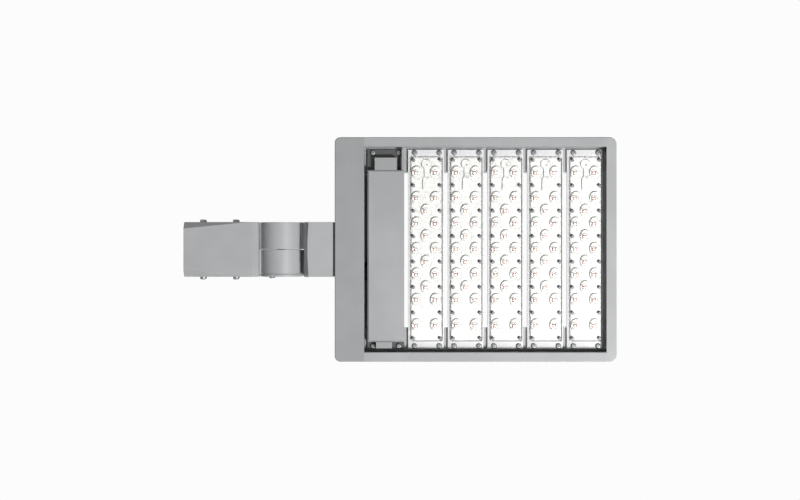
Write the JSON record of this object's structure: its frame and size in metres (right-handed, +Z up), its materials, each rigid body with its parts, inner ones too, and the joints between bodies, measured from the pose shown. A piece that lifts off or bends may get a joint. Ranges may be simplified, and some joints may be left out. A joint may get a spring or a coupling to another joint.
{
  "type": "shoebox area light",
  "caption": "Shoebox area light: open frame of LED lens bars with a driver unit between its side rails, held by a tilting slip fitter for a pole tenon.",
  "frame": {"origin": "centre of the slip fitter's bore mouth, on the pole tenon's axis", "axes": "+X from the pole into the lamp along the tenon, +Z up, lenses face -Z, the head tilts about an axis along Y"},
  "size_m": [0.5985, 0.3102, 0.085],
  "materials": {
    "painted_casting": "silver-grey powder coat, satin, cast surface",
    "painted_frame": "silver-grey powder coat, satin",
    "heat_sink_aluminium": "white-coated extrusion, satin",
    "white_board": "white solder mask, satin",
    "clear_lens": "clear moulded acrylic, gloss",
    "led_phosphor": "yellow phosphor, matte",
    "white_silicone": "matte",
    "black_rubber": "matte",
    "black_plastic": "matte",
    "lead_insulation": "smooth jacket",
    "driver_shell": "white coat",
    "spring_steel": "bright strip",
    "screw_steel": "bright stainless"
  },
  "bodies": {
    "fitter": {"slip_fitter_body": "painted_casting", "clamp_screws": "screw_steel", "wire_grommet": "black_rubber", "pivot_bolt": "screw_steel", "pivot_washer": "screw_steel", "pivot_nut": "screw_steel", "knuckle_seal": "black_rubber", "knuckle_cover": "painted_casting", "knuckle_cover_screw": "screw_steel"},
    "head": {"knuckle_bracket": "painted_casting", "lock_screw": "screw_steel", "neck_gasket": "black_rubber", "neck_bolts": "screw_steel", "rear_end_cap": "painted_casting", "front_end_cap": "painted_casting", "left_side_rail": "painted_frame", "right_side_rail": "painted_frame", "end_cap_screws": "screw_steel", "wireway_cover": "painted_frame", "wireway_screws": "screw_steel", "heat_sink_1": "heat_sink_aluminium", "heat_sink_2": "heat_sink_aluminium", "heat_sink_3": "heat_sink_aluminium", "heat_sink_4": "heat_sink_aluminium", "heat_sink_5": "heat_sink_aluminium", "circuit_board_1": "white_board", "circuit_board_2": "white_board", "circuit_board_3": "white_board", "circuit_board_4": "white_board", "circuit_board_5": "white_board", "lens_gasket_1": "white_silicone", "lens_gasket_2": "white_silicone", "lens_gasket_3": "white_silicone", "lens_gasket_4": "white_silicone", "lens_gasket_5": "white_silicone", "lens_plate_1": "clear_lens", "lens_plate_2": "clear_lens", "lens_plate_3": "clear_lens", "lens_plate_4": "clear_lens", "lens_plate_5": "clear_lens", "led_chips": "led_phosphor", "lens_screws": "screw_steel", "module_screws": "screw_steel", "cable_glands": "black_plastic", "module_leads": "lead_insulation", "driver_tray": "painted_frame", "driver_case": "painted_frame", "case_gasket": "black_rubber", "case_screws": "screw_steel", "driver_cover": "painted_frame", "cover_gasket": "black_rubber", "cover_clips": "spring_steel", "led_driver": "driver_shell", "driver_screws": "screw_steel", "surge_protector": "black_plastic", "terminal_block": "black_plastic", "lead_gland": "black_rubber", "power_gland": "black_plastic"}
  },
  "joints": [
    {"name": "knuckle_tilt", "type": "hinge", "parent": "fitter", "child": "head", "pos_m": [0.1332, 0, 0], "axis": [0, 1, 0], "range_deg": [-90, 90]}
  ]
}
